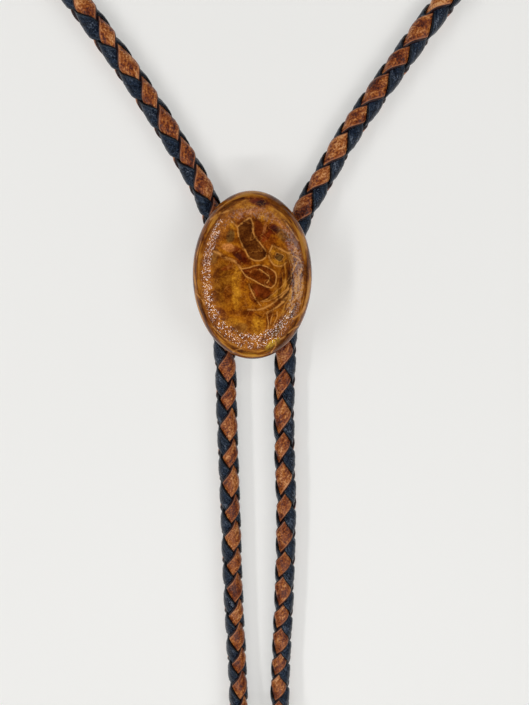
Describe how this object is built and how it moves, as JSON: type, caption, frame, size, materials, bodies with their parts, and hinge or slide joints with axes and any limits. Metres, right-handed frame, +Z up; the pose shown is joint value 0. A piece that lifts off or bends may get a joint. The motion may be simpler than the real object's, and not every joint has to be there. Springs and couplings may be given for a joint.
{
  "type": "bolo tie",
  "caption": "Bolo tie lying flat: a polished oval stone on a metal slide, on a cord braided from brown and navy leather strands, with plain metal tips.",
  "frame": {"origin": "on the table under the stone, at the underside of the slide", "axes": "+Z up out of the stone, +Y towards the neck loop, +X to the right as seen from above"},
  "size_m": [0.1804, 0.412, 0.0162],
  "materials": {
    "stone": "polished brown and gold stone",
    "metal": "plain silver-coloured metal",
    "brown_leather": "smooth mottled brown leather",
    "navy_leather": "smooth navy leather"
  },
  "bodies": {
    "root": {"stone": "stone", "slide_clasp": "metal", "strand_brown_a": "brown_leather", "strand_brown_b": "brown_leather", "strand_navy_a": "navy_leather", "strand_navy_b": "navy_leather", "tip_left": "metal", "tip_right": "metal"}
  },
  "joints": []
}
